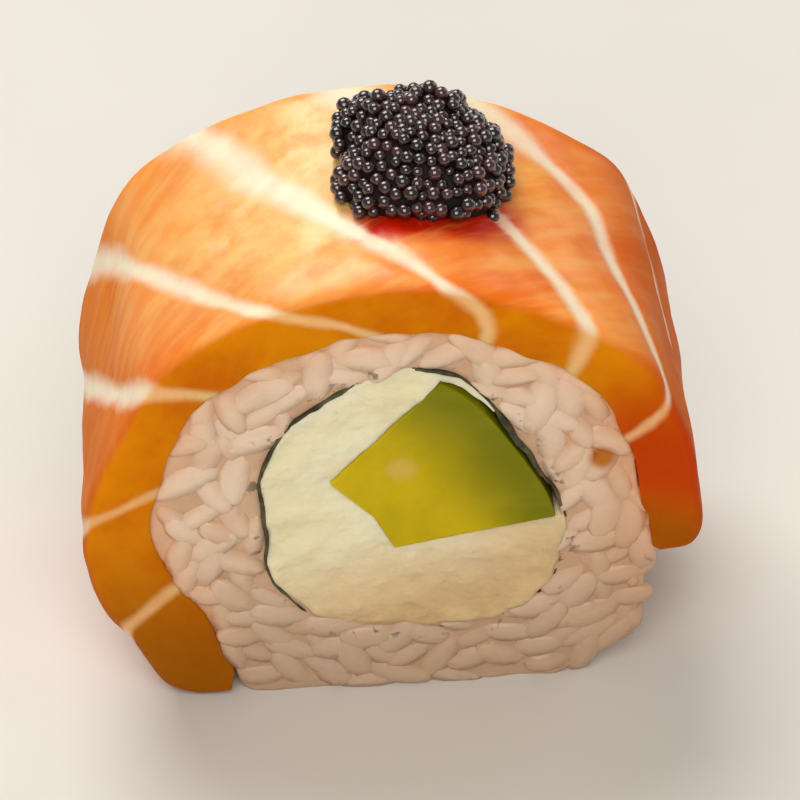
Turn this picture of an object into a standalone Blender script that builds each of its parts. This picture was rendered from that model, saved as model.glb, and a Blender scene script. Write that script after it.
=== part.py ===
"""One piece of a salmon and cream cheese sushi roll, standing as served.

The roll's own axis lies along Y. The knife's two cuts are the flat faces at -Y (front) and +Y (back).
A rice ring wraps a sheet of nori, which wraps cream cheese and a stick of avocado. A slice of salmon
is draped over the rice, and a spoonful of black roe sits on top. The rice's flat foot is at z = 0.

Section outlines are (x, z) pairs in millimetres, counter-clockwise seen from the front.
"""

import math
import random

import bmesh
import bpy
import numpy as np
from mathutils import Euler, Vector, noise
from mathutils.bvhtree import BVHTree

MM = 0.001

# Driving dimensions, in millimetres.
SLICE_LENGTH = 23.5  # an eighth of a roll made on half a sheet of nori
CLEARANCE = 0.3  # between neighbouring solids
NORI_THICKNESS = 0.4
CHEESE_RECESS = 0.3  # how far the knife's faces leave the cheese behind the salmon's
GRAIN_LENGTH = 6.0  # a cooked grain of short rice
GRAIN_WIDTH = 2.9
GRAIN_RELIEF = 0.9  # how far a grain stands out of the rice's core
EGG_DIAMETER = 1.25
ROE_CENTRE = (3.0, 1.9)  # x and y of the spoonful on top of the salmon
ROE_HALF_SIZE = (6.3, 6.1)
ROE_HEIGHT = 5.0
SALMON_BULGE = 1.3  # how much farther the salmon hangs out on the left at the front than at the back

HALF = SLICE_LENGTH / 2
CORE_HALF = HALF - GRAIN_RELIEF

RICE_OUTLINE = (
    (11.8, 0.0), (16.2, 2.2), (18.7, 6.6), (19.0, 11.6), (18.1, 17.0), (16.8, 23.6),
    (13.5, 29.0), (7.6, 33.0), (0.0, 35.0), (-7.2, 33.4), (-12.8, 30.2), (-16.0, 25.2),
    (-17.7, 18.6), (-16.3, 13.0), (-13.8, 8.0), (-12.0, 3.0), (-9.8, 0.0), (0.8, 0.0),
)
NORI_OUTLINE = (
    (12.6, 14.6), (12.0, 18.4), (10.3, 22.0), (8.2, 25.7), (6.3, 28.8), (4.2, 31.0), (1.6, 31.5),
    (-1.3, 31.0), (-4.6, 29.4), (-7.8, 26.5), (-9.8, 23.2), (-10.1, 18.8), (-9.7, 14.0),
    (-8.9, 10.6), (-6.7, 7.8), (-3.4, 6.2), (0.8, 5.9), (7.4, 6.3), (11.4, 9.4),
)
AVOCADO_TOP = (3.5, 30.7)  # the avocado lies against the nori from here ...
AVOCADO_RIGHT = (11.7, 16.3)  # ... to here, and its other corners are cut
AVOCADO_CORNERS = ((-0.1, 14.2), (-1.6, 17.3), (-4.8, 20.9))
BARE_FLANK = ((17.4, 10.2), (13.8, 1.8))  # the stretch of rice, low on the right, that the salmon leaves bare
# The salmon's outer side, from its foot on the left over the top to its free end on the right.
SALMON_OUTSIDE = (
    (-12.4, 0.4), (-15.1, 0.1), (-17.8, 1.6), (-20.0, 6.4), (-21.4, 12.6), (-21.7, 18.6),
    (-20.6, 25.4), (-17.6, 32.0), (-12.2, 36.4), (-5.2, 39.0), (2.4, 39.4), (9.2, 37.2),
    (15.2, 33.8), (19.3, 29.4), (21.4, 23.6), (22.4, 18.4), (22.9, 14.6), (22.0, 12.6), (19.7, 12.4),
)
SALMON_FOOT = (-12.3, 2.4)  # where its underside begins, on the left
SALMON_FREE_END = (19.2, 13.0)  # where its underside ends, on the right


# ---------------------------------------------------------------- curves in the section


def spline(points, closed, steps=14):
    """A smooth curve through the points, as an array of (x, z)."""
    knots = np.array(points, float)
    count = len(knots)
    if closed:
        before, after = np.roll(knots, 1, 0), np.roll(knots, -1, 0)
        beyond = np.roll(knots, -2, 0)
    else:
        before = np.vstack([2 * knots[0] - knots[1], knots[:-1]])
        after = np.vstack([knots[1:], knots[-1]])
        beyond = np.vstack([knots[2:], 2 * knots[-1] - knots[-2], knots[-1]])
        count -= 1
    curve = []
    for i in range(count):
        for t in np.arange(steps) / steps:
            a, b, c, d = before[i], knots[i], after[i], beyond[i]
            curve.append(
                b + 0.5 * t * (c - a + t * (2 * a - 5 * b + 4 * c - d + t * (3 * (b - c) + d - a)))
            )
    if not closed:
        curve.append(knots[-1])
    return np.array(curve)


def even(curve, count, closed):
    """The curve as count points at equal distances."""
    whole = np.vstack([curve, curve[:1]]) if closed else curve
    run = np.concatenate([[0], np.cumsum(np.linalg.norm(np.diff(whole, axis=0), axis=1))])
    at = np.linspace(0, run[-1], count, endpoint=not closed)
    return np.stack([np.interp(at, run, whole[:, k]) for k in (0, 1)], axis=1)


def grown(loop, distance):
    """A closed counter-clockwise loop moved outwards, or inwards if distance is negative."""
    along = np.roll(loop, -1, 0) - np.roll(loop, 1, 0)
    along /= np.linalg.norm(along, axis=1)[:, None]
    return loop + distance * np.stack([along[:, 1], -along[:, 0]], axis=1)


def on_the_floor(loop):
    """The loop with its underside pressed flat at z = 0."""
    return np.stack([loop[:, 0], np.maximum(loop[:, 1], 0.0)], axis=1)


def stretch(loop, first, last):
    """The part of a closed loop that runs backwards from the point nearest first to the one nearest last."""
    start, end = (int(np.linalg.norm(loop - p, axis=1).argmin()) for p in (first, last))
    turned = np.roll(loop[::-1], start + 1, axis=0)
    return turned[: (start - end) % len(loop) + 1]


def inside(loop, point):
    """Whether a point lies in a closed loop."""
    x, z = point
    ahead = np.roll(loop, -1, 0)
    crosses = (loop[:, 1] > z) != (ahead[:, 1] > z)
    span = np.where(crosses, ahead[:, 1] - loop[:, 1], 1.0)
    cut = loop[:, 0] + (z - loop[:, 1]) / span * (ahead[:, 0] - loop[:, 0])
    return bool(np.count_nonzero(crosses & (cut > x)) % 2)


# ---------------------------------------------------------------- solids


def material(name, colour, roughness):
    made = bpy.data.materials.new(name)
    made.use_nodes = True
    shader = made.node_tree.nodes["Principled BSDF"]
    shader.inputs["Base Color"].default_value = (*colour, 1.0)
    shader.inputs["Roughness"].default_value = roughness
    shader.inputs["Metallic"].default_value = 0.0
    return made


def as_object(name, mesh_builder, finish):
    """The object of a bmesh in millimetres, with its faces turned outwards."""
    bmesh.ops.recalc_face_normals(mesh_builder, faces=mesh_builder.faces)
    bmesh.ops.scale(mesh_builder, vec=(MM, MM, MM), verts=mesh_builder.verts)
    mesh = bpy.data.meshes.new(name)
    mesh_builder.to_mesh(mesh)
    mesh_builder.free()
    mesh.materials.append(finish)
    made = bpy.data.objects.new(name, mesh)
    bpy.context.scene.collection.objects.link(made)
    mesh.shade_smooth()
    mesh.set_sharp_from_angle(angle=math.radians(40))
    return made


def swept(name, rings, closed, finish):
    """A solid through rings of equally many points: a closed tube, or a bar with its two ends capped."""
    shape = bmesh.new()
    made = [[shape.verts.new(point) for point in ring] for ring in rings]
    pairs = list(zip(made, made[1:]))
    if closed:
        pairs.append((made[-1], made[0]))
    else:
        shape.faces.new(made[0])
        shape.faces.new(made[-1])
    for one, other in pairs:
        for k in range(len(one)):
            n = (k + 1) % len(one)
            shape.faces.new((one[k], one[n], other[n], other[k]))
    return as_object(name, shape, finish)


def prism(name, loop, half_length, finish):
    """A solid of one outline, cut square at both ends."""
    shape = bmesh.new()
    front = [shape.verts.new((x, -half_length, z)) for x, z in loop]
    shape.faces.new(front)
    pushed = bmesh.ops.extrude_face_region(shape, geom=shape.faces[:])
    back = [v for v in pushed["geom"] if isinstance(v, bmesh.types.BMVert)]
    bmesh.ops.translate(shape, vec=(0, 2 * half_length, 0), verts=back)
    return as_object(name, shape, finish)


def wall(name, outer, inner, half_length, finish):
    """A tube between two loops of equally many points, cut square at both ends."""
    rings = []
    for (x, z), (u, w) in zip(outer, inner):
        front, back = -half_length, half_length
        rings.append([(x, front, z), (x, back, z), (u, back, w), (u, front, w)])
    return swept(name, rings, True, finish)


def outer_shell_only(mesh):
    """Fills the hollows that the mesh sealed in, and drops any loose scrap: only its largest shell is left."""
    shape = bmesh.new()
    shape.from_mesh(mesh)
    shape.faces.ensure_lookup_table()
    waiting, shells = set(shape.faces), []
    while waiting:
        shell, edge_of_it = set(), [waiting.pop()]
        while edge_of_it:
            face = edge_of_it.pop()
            shell.add(face)
            beside = {other for edge in face.edges for other in edge.link_faces} & waiting
            waiting -= beside
            edge_of_it.extend(beside)
        shells.append(shell)
    shells.sort(key=len)
    bmesh.ops.delete(shape, geom=[face for shell in shells[:-1] for face in shell], context="FACES")
    bmesh.ops.triangulate(shape, faces=shape.faces, ngon_method="BEAUTY")
    shape.to_mesh(mesh)
    shape.free()


def fused(target, pieces):
    """The target joined with all the pieces by one Boolean, and the pieces removed."""
    group = bpy.data.collections.new(target.name + "_pieces")
    bpy.context.scene.collection.children.link(group)
    for piece in pieces:
        bpy.context.scene.collection.objects.unlink(piece)
        group.objects.link(piece)
    join = target.modifiers.new("join", "BOOLEAN")
    join.operation = "UNION"
    join.operand_type = "COLLECTION"
    join.collection = group
    join.solver = "MANIFOLD"
    graph = bpy.context.evaluated_depsgraph_get()
    joined = bpy.data.meshes.new_from_object(target.evaluated_get(graph))
    target.modifiers.remove(join)
    outer_shell_only(joined)
    target.data = joined
    for piece in pieces:
        bpy.data.objects.remove(piece)
    bpy.data.collections.remove(group)


# ---------------------------------------------------------------- salmon


def hang(point):
    """Share of the bulge at a point of the salmon's outside: all of it low on the left, none on top."""
    x, z = point
    return max(0.0, -x / 21.5) * math.sin(math.pi * min(max((z - 3.0) / 24.0, 0.0), 1.0))


def salmon(rice_loop, finish, stations=56):
    """The draped slice: its underside follows the rice, and its cut edges are slightly rounded."""
    under = stretch(grown(rice_loop, CLEARANCE), SALMON_FOOT, SALMON_FREE_END)
    under = even(under, stations, False)
    outside = even(spline(SALMON_OUTSIDE, False), stations, False)
    # Share of the thickness left at each distance in from the cut face: the knife leaves a soft edge.
    edge = ((0.0, 0.80), (0.3, 0.93), (0.9, 1.0), (3.6, 1.0), (7.6, 1.0))
    outer_row = [(-HALF + d, share) for d, share in edge] + [(0.0, 1.0)]
    outer_row += [(-y, share) for y, share in reversed(outer_row[:-1])]
    under_row = [HALF, HALF / 2, 0.0, -HALF / 2, -HALF]
    rings = []
    for low, high in zip(under, outside):
        ring = []
        for y, share in outer_row:
            wave = 1 + 0.09 * noise.noise(Vector((high[0] * 0.13, y * 0.11, high[1] * 0.13)))
            x, z = low + (high - low) * share * wave
            x -= SALMON_BULGE * (0.5 - y / SLICE_LENGTH) * hang(high)
            ring.append((x, y, max(z, 0.0)))
        ring += [(low[0], y, low[1]) for y in under_row]
        rings.append(ring)
    return swept("salmon_slice", rings, False, finish)


# ---------------------------------------------------------------- rice


def grain(centre, normal, spin, tilt, length, width, cut_at, finish):
    """One grain of few sides, lying across the normal, and flat where it reaches the cut or the floor."""
    turn = normal.to_track_quat("Z", "Y") @ Euler((0, tilt, spin)).to_quaternion()
    rings = []
    for share, girth in ((-0.62, 0.78), (0.0, 1.0), (0.62, 0.78)):
        angles = [math.tau * (k + 0.5 * share) / 5 for k in range(5)]
        across = 0.5 * width * girth
        rings.append([(0.5 * length * share, across * math.cos(a), across * math.sin(a)) for a in angles])
    shape = bmesh.new()
    for point in [(-0.5 * length, 0, 0), *rings[0], *rings[1], *rings[2], (0.5 * length, 0, 0)]:
        placed = centre + turn @ Vector(point)
        shape.verts.new((placed.x, max(-cut_at, min(cut_at, placed.y)), max(placed.z, 0.0)))
    shape.verts.ensure_lookup_table()
    for k in range(5):
        n = (k + 1) % 5
        shape.faces.new([shape.verts[i] for i in (0, 1 + k, 1 + n)])
        shape.faces.new([shape.verts[i] for i in (16, 11 + k, 11 + n)])
        for first in (1, 6):
            corners = (first + k, first + n, first + 5 + n, first + 5 + k)
            shape.faces.new([shape.verts[i] for i in corners])
    return as_object("grain", shape, finish)


def in_the_ring(piece, rice_loop, hole_loop):
    """Whether a grain keeps to the ring between the salmon and the nori, above the floor."""
    within, beyond = grown(rice_loop, -CLEARANCE / 2), grown(hole_loop, CLEARANCE / 2)
    for vertex in piece.data.vertices:
        point = (vertex.co.x / MM, vertex.co.z / MM)
        if vertex.co.z <= 0 or not inside(within, point) or inside(beyond, point):
            return False
    return True


def scattered(tries, grain_at, fits):
    """Grains tried at random, none nearer to another than its width."""
    kept, taken = [], []
    for _ in range(tries):
        place, make = grain_at()
        if any((place - other).length < 0.95 * GRAIN_WIDTH for other in taken):
            continue
        piece = make()
        if fits(piece):
            kept.append(piece)
            taken.append(place)
        else:
            bpy.data.objects.remove(piece)
    return kept


def face_grains(rice_loop, hole_loop, side, draw, finish):
    """Grains over one cut face, mostly lying round the ring, each flat where the knife went through it."""

    def grain_at():
        place = Vector((draw.uniform(-18, 20), 0, draw.uniform(0.5, 35.5)))
        around = math.atan2(place.z - 18, place.x) + math.pi / 2
        spin = side * -around + draw.uniform(-0.9, 0.9)
        tilt, size = draw.uniform(-0.5, 0.5), draw.uniform(0.75, 1.0)
        centre = place + Vector((0, side * (CORE_HALF - draw.uniform(0.05, 0.35)), 0))
        cut_at = HALF - draw.uniform(0.0, 0.2)
        girth = size * GRAIN_WIDTH
        return place, lambda: grain(
            centre, Vector((0, side, 0)), spin, tilt, size * GRAIN_LENGTH, girth, cut_at, finish
        )

    return scattered(1600, grain_at, lambda piece: in_the_ring(piece, rice_loop, hole_loop))


def flank_grains(core_loop, draw, finish):
    """Grains on the flank that the salmon leaves bare, low on the right."""
    bare = even(stretch(core_loop, *BARE_FLANK), 40, False)

    def grain_at():
        at = draw.randrange(1, 39)
        along = bare[at + 1] - bare[at - 1]
        normal = Vector((-along[1], 0, along[0])).normalized()
        place = Vector((bare[at][0], draw.uniform(-10.6, 10.6), bare[at][1])) - 0.3 * normal
        spin, tilt, size = draw.uniform(0, math.pi), draw.uniform(-0.3, 0.3), draw.uniform(0.75, 0.9)
        return place, lambda: grain(
            place, normal, spin, tilt, size * GRAIN_LENGTH, size * GRAIN_WIDTH, HALF - 0.1, finish
        )

    def below_the_salmon(piece):
        heights = [vertex.co.z / MM for vertex in piece.data.vertices]
        return min(heights) > 0 and max(heights) < BARE_FLANK[0][1] + 1.6

    return scattered(500, grain_at, below_the_salmon)


def rice(rice_loop, hole_loop, finish):
    """The ring of pressed rice: a core behind the cut faces and inside the bare flank, with grains fused on."""
    bare = (rice_loop[:, 0] > BARE_FLANK[1][0] - 1) & (rice_loop[:, 1] < BARE_FLANK[0][1] + 2)
    depth = np.convolve(np.tile(bare, 3), np.ones(5) / 5, "same")[len(bare) : 2 * len(bare)]
    inset = grown(rice_loop, -1.0)
    core = on_the_floor(rice_loop + (inset - rice_loop) * (GRAIN_RELIEF * depth)[:, None])
    ring = wall("rice_ring", core, hole_loop, CORE_HALF, finish)
    draw = random.Random(11)
    grains = flank_grains(core, draw, finish)
    for side in (-1, 1):
        grains += face_grains(rice_loop, hole_loop, side, draw, finish)
    fused(ring, grains)
    return ring


# ---------------------------------------------------------------- filling


def filling_sections(filling_loop):
    """Outlines of the avocado, which lies against the nori at the upper right, and of the cheese round it."""
    corners = np.array(AVOCADO_CORNERS)
    avocado = np.vstack([stretch(filling_loop, AVOCADO_TOP, AVOCADO_RIGHT), corners])[::-1]
    beside = grown(avocado, 1.5 * CLEARANCE)[: len(corners)]
    cheese = np.vstack([stretch(filling_loop, AVOCADO_RIGHT, AVOCADO_TOP)[1:-1], beside])[::-1]
    return avocado, cheese


# ---------------------------------------------------------------- roe


def roe_height(across, turn):
    """Height of the spoonful at a share of its radius: full in the middle, blunt at the rim, and uneven."""
    lump = noise.noise(Vector((2.0 * across * math.cos(turn), 2.0 * across * math.sin(turn), 4.0)))
    lean = 1 + 0.16 * across * math.cos(turn - 1.0)
    return ROE_HEIGHT * (0.42 + 0.58 * (1 - across**2.4)) * (1 + 0.16 * lump) * lean


def roe_reach(turn):
    """How far the spoonful spreads in a direction: a blunt block, as the spoon left it, with an uneven rim."""
    block = (abs(math.cos(turn)) ** 3 + abs(math.sin(turn)) ** 3) ** (-1 / 3)
    dribble = 0.12 * math.exp(-(((turn % math.tau - 3.5) / 0.2) ** 2))
    return block * (1 + 0.04 * math.sin(3 * turn + 1.0) + 0.03 * math.cos(5 * turn) + dribble)


def roe(salmon_slice, finish, spokes=26, rounds=6):
    """The spoonful of eggs: a lumpy core that follows the salmon, with eggs fused on where they show."""
    shape = bmesh.new()
    shape.from_mesh(salmon_slice.data)
    ground = BVHTree.FromBMesh(shape)
    shape.free()

    def surface(across, turn):
        """The point of the salmon below the spoonful, in millimetres."""
        x = ROE_CENTRE[0] + ROE_HALF_SIZE[0] * roe_reach(turn) * across * math.cos(turn)
        y = ROE_CENTRE[1] + ROE_HALF_SIZE[1] * roe_reach(turn) * across * math.sin(turn)
        hit = ground.ray_cast(Vector((x * MM, y * MM, 0.1)), Vector((0, 0, -1)))[0]
        return Vector((x, y, hit.z / MM))

    shape = bmesh.new()
    below = [shape.verts.new(surface(0, 0) + Vector((0, 0, CLEARANCE)))]
    above = [shape.verts.new(surface(0, 0) + Vector((0, 0, roe_height(0, 0))))]
    for n in range(1, rounds + 1):
        for k in range(spokes):
            across, turn = n / rounds, math.tau * k / spokes
            spot = surface(across, turn)
            below.append(shape.verts.new(spot + Vector((0, 0, CLEARANCE))))
            above.append(shape.verts.new(spot + Vector((0, 0, roe_height(across, turn)))))
    for sheet in (below, above):
        for k in range(spokes):
            n = (k + 1) % spokes
            shape.faces.new((sheet[0], sheet[1 + k], sheet[1 + n]))
            for ring in range(rounds - 1):
                a, b = 1 + ring * spokes, 1 + (ring + 1) * spokes
                shape.faces.new((sheet[a + k], sheet[b + k], sheet[b + n], sheet[a + n]))
    rim = 1 + (rounds - 1) * spokes
    for k in range(spokes):
        n = (k + 1) % spokes
        shape.faces.new((below[rim + k], below[rim + n], above[rim + n], above[rim + k]))
    heap = as_object("black_roe", shape, finish)

    draw = random.Random(5)
    radius = EGG_DIAMETER / 2
    eggs, places = [], []
    for _ in range(4000):
        across, turn = math.sqrt(draw.uniform(0, 1)) * 1.06, draw.uniform(0, math.tau)
        spot = surface(across, turn)
        floor = spot.z + radius + CLEARANCE + 0.15
        top = spot.z + roe_height(min(across, 1.0), turn) - 0.15 * radius
        spot.z = max(floor, top if across < 0.96 else draw.uniform(floor, max(floor, top)))
        if any((spot - other).length < 1.12 * EGG_DIAMETER for other in places):
            continue
        places.append(spot)
        shape = bmesh.new()
        bmesh.ops.create_icosphere(shape, subdivisions=1, radius=radius * draw.uniform(0.92, 1.08))
        turn = Euler([draw.uniform(0, math.tau) for _ in range(3)])
        bmesh.ops.rotate(shape, verts=shape.verts, matrix=turn.to_matrix())
        bmesh.ops.translate(shape, verts=shape.verts, vec=spot)
        eggs.append(as_object("egg", shape, finish))
    fused(heap, eggs)
    return heap


# ---------------------------------------------------------------- the whole piece


def main():
    for old in list(bpy.data.objects):
        bpy.data.objects.remove(old)

    rice_loop = on_the_floor(even(spline(RICE_OUTLINE, True), 72, True))
    sheet_loop = even(spline(NORI_OUTLINE, True), 72, True)
    hole_loop = grown(sheet_loop, CLEARANCE)
    filling_loop = grown(sheet_loop, -NORI_THICKNESS - CLEARANCE)
    avocado_loop, cheese_loop = filling_sections(filling_loop)

    # The hole starts at the same turn as the outer loop, so that the walls between them don't twist.
    def turned_to_match(loop, pattern):
        middle = loop.mean(0)
        aim = pattern[0] - middle
        rays = loop - middle
        match = (rays @ aim) / np.linalg.norm(rays, axis=1)
        return np.roll(loop, -int(match.argmax()), axis=0)

    slice_on_top = salmon(rice_loop, material("salmon", (0.90, 0.33, 0.10), 0.3))
    rice(rice_loop, turned_to_match(hole_loop, rice_loop), material("rice", (0.86, 0.80, 0.72), 0.45))
    nori = material("nori", (0.03, 0.045, 0.03), 0.6)
    wall("nori_sheet", sheet_loop, grown(sheet_loop, -NORI_THICKNESS), HALF - 0.1, nori)
    cheese = material("cream_cheese", (0.90, 0.85, 0.70), 0.45)
    prism("cream_cheese", cheese_loop, HALF - CHEESE_RECESS, cheese)
    prism("avocado_strip", avocado_loop, HALF - 0.1, material("avocado", (0.50, 0.55, 0.08), 0.4))
    roe(slice_on_top, material("black_roe", (0.02, 0.012, 0.018), 0.15))


main()
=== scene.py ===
"""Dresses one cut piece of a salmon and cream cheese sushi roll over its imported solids.

The roll's own axis lies along Y, with the knife's cuts at -Y (front) and +Y (back). Sizes are in
millimetres until a mesh is made, and sections are (x, z) outlines, the same as the solids'.
"""

import itertools
import math

import bmesh
import bpy
import numpy as np
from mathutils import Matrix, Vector, noise
from mathutils.bvhtree import BVHTree


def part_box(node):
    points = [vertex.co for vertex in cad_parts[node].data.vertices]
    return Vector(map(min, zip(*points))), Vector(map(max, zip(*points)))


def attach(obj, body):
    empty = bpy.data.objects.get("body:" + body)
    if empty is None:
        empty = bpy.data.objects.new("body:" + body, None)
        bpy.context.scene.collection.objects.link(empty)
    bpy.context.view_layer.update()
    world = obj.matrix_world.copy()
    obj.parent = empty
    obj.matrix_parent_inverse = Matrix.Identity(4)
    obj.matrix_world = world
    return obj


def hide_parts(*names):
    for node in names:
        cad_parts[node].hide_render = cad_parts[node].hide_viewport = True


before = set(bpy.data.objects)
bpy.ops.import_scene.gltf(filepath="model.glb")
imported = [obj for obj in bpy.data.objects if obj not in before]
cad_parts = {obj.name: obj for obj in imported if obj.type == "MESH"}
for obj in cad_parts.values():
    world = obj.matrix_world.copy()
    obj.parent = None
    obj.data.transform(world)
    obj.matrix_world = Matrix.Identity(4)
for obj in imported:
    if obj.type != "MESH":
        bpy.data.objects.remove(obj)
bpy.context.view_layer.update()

MM = 0.001

# ---- sizes shared with the solids

HALF = -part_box("salmon_slice")[0].y / MM  # the knife's two faces lie this far from the middle
CLEARANCE = 0.3
NORI_THICKNESS = 0.4
ROE_CENTRE = (3.0, 1.9)
ROE_HALF_SIZE = (6.3, 6.1)
ROE_HEIGHT = 5.0
SALMON_BULGE = 1.3

RICE_OUTLINE = (
    (11.8, 0.0), (16.2, 2.2), (18.7, 6.6), (19.0, 11.6), (18.1, 17.0), (16.8, 23.6),
    (13.5, 29.0), (7.6, 33.0), (0.0, 35.0), (-7.2, 33.4), (-12.8, 30.2), (-16.0, 25.2),
    (-17.7, 18.6), (-16.3, 13.0), (-13.8, 8.0), (-12.0, 3.0), (-9.8, 0.0), (0.8, 0.0),
)
NORI_OUTLINE = (
    (12.6, 14.6), (12.0, 18.4), (10.3, 22.0), (8.2, 25.7), (6.3, 28.8), (4.2, 31.0), (1.6, 31.5),
    (-1.3, 31.0), (-4.6, 29.4), (-7.8, 26.5), (-9.8, 23.2), (-10.1, 18.8), (-9.7, 14.0),
    (-8.9, 10.6), (-6.7, 7.8), (-3.4, 6.2), (0.8, 5.9), (7.4, 6.3), (11.4, 9.4),
)
AVOCADO_TOP = (3.5, 30.7)
AVOCADO_RIGHT = (11.7, 16.3)
AVOCADO_CORNERS = ((-0.1, 14.2), (-1.6, 17.3), (-4.8, 20.9))
SALMON_OUTSIDE = (
    (-12.4, 0.4), (-15.1, 0.1), (-17.8, 1.6), (-20.0, 6.4), (-21.4, 12.6), (-21.7, 18.6),
    (-20.6, 25.4), (-17.6, 32.0), (-12.2, 36.4), (-5.2, 39.0), (2.4, 39.4), (9.2, 37.2),
    (15.2, 33.8), (19.3, 29.4), (21.4, 23.6), (22.4, 18.4), (22.9, 14.6), (22.0, 12.6), (19.7, 12.4),
)
SALMON_FOOT = (-12.3, 2.4)
SALMON_FREE_END = (19.2, 13.0)
ROLL_MIDDLE = np.array((1.0, 18.3))  # the ring of rice is drawn round this point

# ---- sizes of the surface's own detail

CUT_EDGE = 0.9  # how far the knife's soft edge reaches in over the salmon
RICE_FACE = HALF - 0.55  # where the rice's core lies behind the grains that the knife cut flat
GRAIN_LENGTH = 6.2
GRAIN_WIDTH = 2.9
GRAIN_SPACING = 2.05
EGG_SIZE = 1.15
EGG_SPACING = 0.80
NORI_FACE = HALF - 0.22
CHEESE_FACE = HALF - 0.3
AVOCADO_FACE = HALF - 0.12
CHEESE_TAIL = (7.4, 27.0)  # the cheese thins out here, between the avocado and the nori
RICE_FLECK = (15.2, 0.3 - HALF, 21.9)  # a crumb of orange roe pressed into the rice
AVOCADO_FLECK = (0.4, -HALF, 22.0)  # a paler bruise on the avocado's cut

# White lines of fat across the salmon, each as (half width at the back, half width at the front,
# strength, points). A point is (run, reach): run is measured along the outside from the foot on
# the left, and reach along Y, and past the two edges it goes on down the cut faces.
FAT_LINES = (
    (0.8, 0.60, 0.80, ((-3, 4.7), (5, -4.3), (11.6, -11.8), (12.4, -14.5), (13.2, -19))),
    (0.7, 0.58, 0.80, (
        (1.5, 15.5), (3.5, 11.75), (12.6, 0.5), (19, -7), (23.1, -11.9), (24.3, -14.1), (26.4, -16.5),
    )),
    (0.8, 0.72, 1.00, (
        (14.5, 15.5), (16.5, 11.75), (24, 3), (32.2, -7.2), (36.2, -11.4), (37.2, -13.4), (38.9, -16.5),
    )),
    (1.3, 0.45, 1.00, (
        (26.5, 15.5), (28.5, 11.75), (33.8, 5.8), (40.3, -2.9), (45.3, -8.9), (48.5, -11.9), (52, -14.3),
        (56, -16.3),
    )),
    (1.5, 0.62, 1.00, (
        (41, 15.5), (43.2, 11.75), (45.1, 9), (48.7, 3.1), (52.1, -1.3), (55.1, -4.6), (58.1, -8),
        (61.3, -11.4), (64, -13), (65.6, -14.8), (66.1, -16.5),
    )),
    (1.4, 0.72, 0.95, (
        (53, 15.5), (55, 11.75), (60.5, 4.7), (65.9, -1.7), (68.7, -5.2), (70.9, -8), (72.6, -11.3),
        (73.8, -13.8), (75.2, -16.5),
    )),
    (1.2, 0.42, 0.90, (
        (62, 15.5), (64.3, 11.75), (68.2, 8.6), (71.6, 6.4), (74.3, 4), (75.8, 0.6), (77.2, -3.3),
        (78.9, -7), (81, -10), (82.8, -12.2), (85, -15), (86, -16.5),
    )),
    (0.8, 0.08, 0.80, ((78, 15.5), (80.5, 11.75), (84.5, 5.5), (88, 0), (92.5, -5.5), (96, -9.6))),
    (0.5, 0.10, 0.70, ((91, 15.5), (92.5, 11.75), (95.5, 7.5), (97.8, 4.5))),
)

# Paler places on the salmon's top, partly paler flesh and partly a painted sheen of the lamp on its wet
# film, each as (amount, run, reach, size along the run, size along Y).
PALE_SHEEN_PATCHES = ((1.0, 57, 8, 9, 9), (0.7, 46, 0, 8, 9), (0.6, 53, -6, 6, 4.5))

# ---- light and camera, in metres

# Each lamp as (name, place, side, watts, colour).
LAMPS = (
    ("rim", (0.50, 0.34, 0.26), 0.35, 0.5, (1.0, 0.92, 0.82)),
    ("key", (-0.17, 0.42, 0.64), 0.50, 4.2, (1.0, 0.97, 0.92)),
    ("fill", (-0.06, -0.52, 0.60), 0.50, 3.5, (1.0, 0.95, 0.88)),
)
LAMP_AIM = (0, 0, 0.018)
SKY_COLOUR = (0.97, 0.98, 1.0, 1.0)
SKY_STRENGTH = 0.22
FLOOR_REACH = 3.0
CAMERA_TURN = math.radians(-5)
CAMERA_RISE = math.radians(42)
CAMERA_AIM = Vector((1.55, 2.7, 15.9)) * MM
CAMERA_DISTANCE = 0.55
CAMERA_SENSOR = 36.0  # millimetres, as the lens is
VIEW_WIDTH = 0.060  # what the picture takes in at the aim


# ---- curves in the section


def columns(*numbers):
    """Columns of numbers side by side, with a row for each point."""
    return np.stack(numbers, axis=1)


def lengths(vectors):
    """How long each of the vectors is."""
    return np.linalg.norm(vectors, axis=1)


def spline(points, closed, steps=14):
    """A smooth curve through the points."""
    knots = np.array(points, float)
    before, beyond = knots[-1:], knots[:2]
    if not closed:
        before, beyond = 2 * knots[0] - knots[1], 2 * knots[-1] - knots[-2]
    knots = np.vstack([before, knots, beyond])
    curve = [
        b + 0.5 * t * (c - a + t * (2 * a - 5 * b + 4 * c - d + t * (3 * (b - c) + d - a)))
        for a, b, c, d in zip(knots, knots[1:], knots[2:], knots[3:])
        for t in np.arange(steps) / steps
    ]
    return np.array(curve if closed else [*curve, knots[-2]])


def even(curve, count, closed=False):
    """The curve as count points at equal distances."""
    whole = np.vstack([curve, curve[:1]]) if closed else np.asarray(curve, float)
    run = run_along(whole)
    at = np.linspace(0, run[-1], count, endpoint=not closed)
    return columns(*[np.interp(at, run, part) for part in whole.T])


def run_along(curve):
    """How far along the curve each of its points lies."""
    return np.concatenate([[0], np.cumsum(lengths(np.diff(curve, axis=0)))])


def outward(along):
    """Unit vectors at right angles to the given ones, on their right."""
    along = along / lengths(along)[:, None]
    return columns(along[:, 1], -along[:, 0])


def grown(loop, distance):
    """A closed counter-clockwise loop moved outwards, or inwards if distance is negative."""
    return loop + distance * outward(np.roll(loop, -1, 0) - np.roll(loop, 1, 0))


def stretch(loop, first, last):
    """The part of a closed loop that runs backwards from the point nearest first to that nearest last."""
    start, end = (int(lengths(loop - p).argmin()) for p in (first, last))
    turned = np.roll(loop[::-1], start + 1, axis=0)
    return turned[: (start - end) % len(loop) + 1]


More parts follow.
